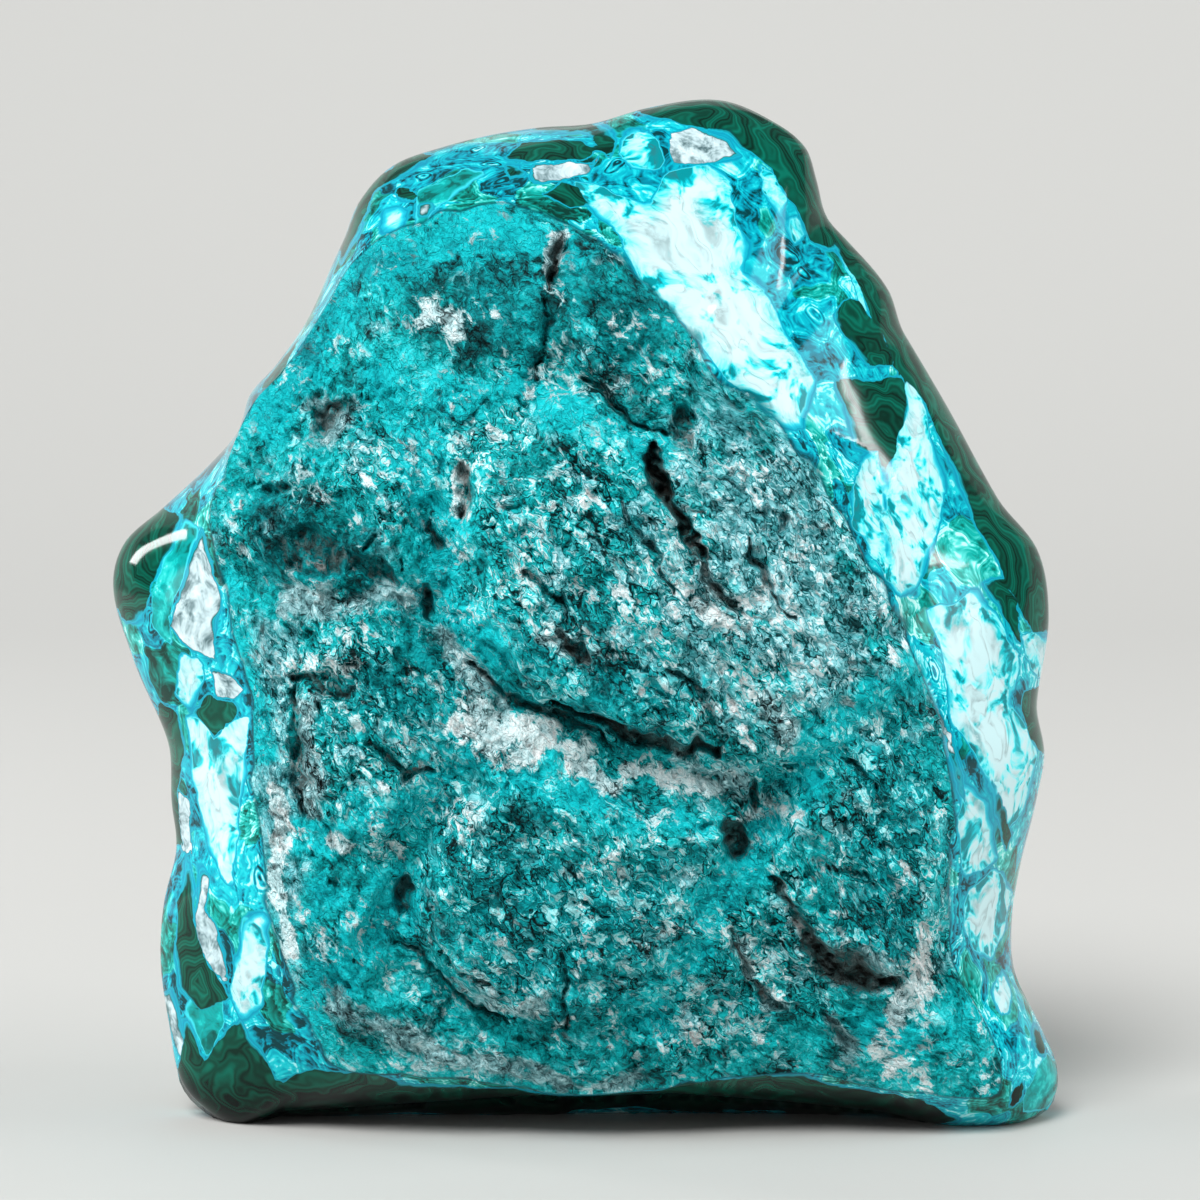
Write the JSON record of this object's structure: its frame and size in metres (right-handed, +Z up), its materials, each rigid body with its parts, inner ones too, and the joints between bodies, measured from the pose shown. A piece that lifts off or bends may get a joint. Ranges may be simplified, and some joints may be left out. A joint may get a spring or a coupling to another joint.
{
  "type": "malachite with chrysocolla specimen",
  "caption": "Freeform boulder of malachite with chrysocolla, ground and polished round a weathered front face, standing on a flat base.",
  "frame": {"origin": "under the middle of the stone's box, on the surface that it stands on", "axes": "+Z up, +Y from the weathered face to the polished back, +X to the right as the face is seen"},
  "size_m": [0.2398, 0.137, 0.258],
  "materials": {
    "copper_mineral_stone": "weathered and matt on the front face, polished to a gloss on the rim and back"
  },
  "bodies": {
    "root": {"malachite_chrysocolla_stone": "copper_mineral_stone"}
  },
  "joints": []
}
